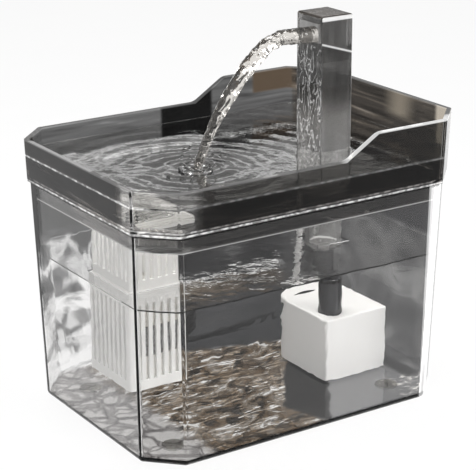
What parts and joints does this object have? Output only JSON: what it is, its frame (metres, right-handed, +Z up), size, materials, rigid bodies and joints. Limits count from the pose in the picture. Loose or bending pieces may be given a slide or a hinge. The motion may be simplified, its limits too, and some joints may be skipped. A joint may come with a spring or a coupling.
{
  "type": "pet water fountain",
  "caption": "Smoked clear pet water fountain: cut-cornered tank, tray with raised end, square spout tower, slotted white filter, white submerged pump and USB lead.",
  "frame": {"origin": "middle of the base, on the surface it stands on", "axes": "+X along the long side towards the tower end, +Y to the rear, +Z up"},
  "size_m": [0.1978, 0.2106, 0.207],
  "materials": {
    "smoked_clear": "smoked clear plastic",
    "white_plastic": "satin white moulding",
    "black_silicone": "black silicone",
    "clear_silicone": "translucent silicone",
    "pump_plastic": "black pump moulding",
    "dark_tube": "dark gloss outlet tube",
    "epoxy": "potting compound",
    "steel_core": "laminated steel",
    "copper_coil": "enamelled copper wire",
    "magnet": "ferrite magnet",
    "impeller_plastic": "white impeller moulding",
    "ceramic": "ceramic shaft",
    "sponge": "open-cell sponge",
    "filter_cotton": "filter cotton",
    "carbon": "activated carbon in a pouch",
    "resin": "softening resin in a pouch",
    "white_cable": "white cable jacket",
    "plug_metal": "nickel-plated shell",
    "gold_contact": "gold-plated contacts"
  },
  "bodies": {
    "base": {"tank_shell": "smoked_clear", "foot_pads": "clear_silicone", "cord_grommet": "clear_silicone", "pump_base": "white_plastic", "suction_cups": "clear_silicone", "volute_housing": "pump_plastic", "volute_seal": "black_silicone", "volute_cover": "pump_plastic", "motor_housing": "pump_plastic", "stator_core": "steel_core", "stator_coil": "copper_coil", "potting_block": "epoxy", "rotor_shaft": "ceramic", "shaft_bushes": "black_silicone", "pump_outlet": "dark_tube", "intake_sponge": "sponge", "feed_hose": "black_silicone", "cable_gland": "white_cable", "pump_lead": "white_cable", "lead_coil": "white_cable", "lead_tail": "white_cable", "coil_tie": "white_plastic", "usb_overmould": "white_plastic", "usb_shell": "plug_metal", "usb_tongue": "white_plastic", "usb_contacts": "gold_contact"},
    "tray": {"tray": "smoked_clear", "tower_seal": "clear_silicone"},
    "tower": {"tower_body": "smoked_clear"},
    "head": {"spout_head": "smoked_clear"},
    "filter": {"filter_basket": "white_plastic", "filter_neck": "white_plastic", "filter_cotton": "filter_cotton", "carbon_pack": "carbon", "resin_pack": "resin"},
    "grille": {"drain_grille": "smoked_clear"},
    "rotor": {"rotor_magnet": "magnet", "impeller": "impeller_plastic"},
    "cover": {"pump_cover": "white_plastic"}
  },
  "joints": [
    {"name": "tray_lift", "type": "slide", "parent": "base", "child": "tray", "axis": [0, 0, 1], "range_m": [0, 0.1]},
    {"name": "tower_lift", "type": "slide", "parent": "tray", "child": "tower", "axis": [0, 0, 1], "range_m": [0, 0.046]},
    {"name": "head_lift", "type": "slide", "parent": "tower", "child": "head", "axis": [0, 0, 1], "range_m": [0, 0.03]},
    {"name": "filter_lift", "type": "slide", "parent": "tray", "child": "filter", "axis": [0, 0, 1], "range_m": [0, 0.09]},
    {"name": "grille_lift", "type": "slide", "parent": "filter", "child": "grille", "axis": [0, 0, 1], "range_m": [0, 0.05]},
    {"name": "cover_lift", "type": "slide", "parent": "base", "child": "cover", "axis": [0, 0, 1], "range_m": [0, 0.019]},
    {"name": "rotor_spin", "type": "hinge", "parent": "base", "child": "rotor", "pos_m": [0.056, -0.01, 0.019], "axis": [0, 1, 0], "continuous": true}
  ]
}
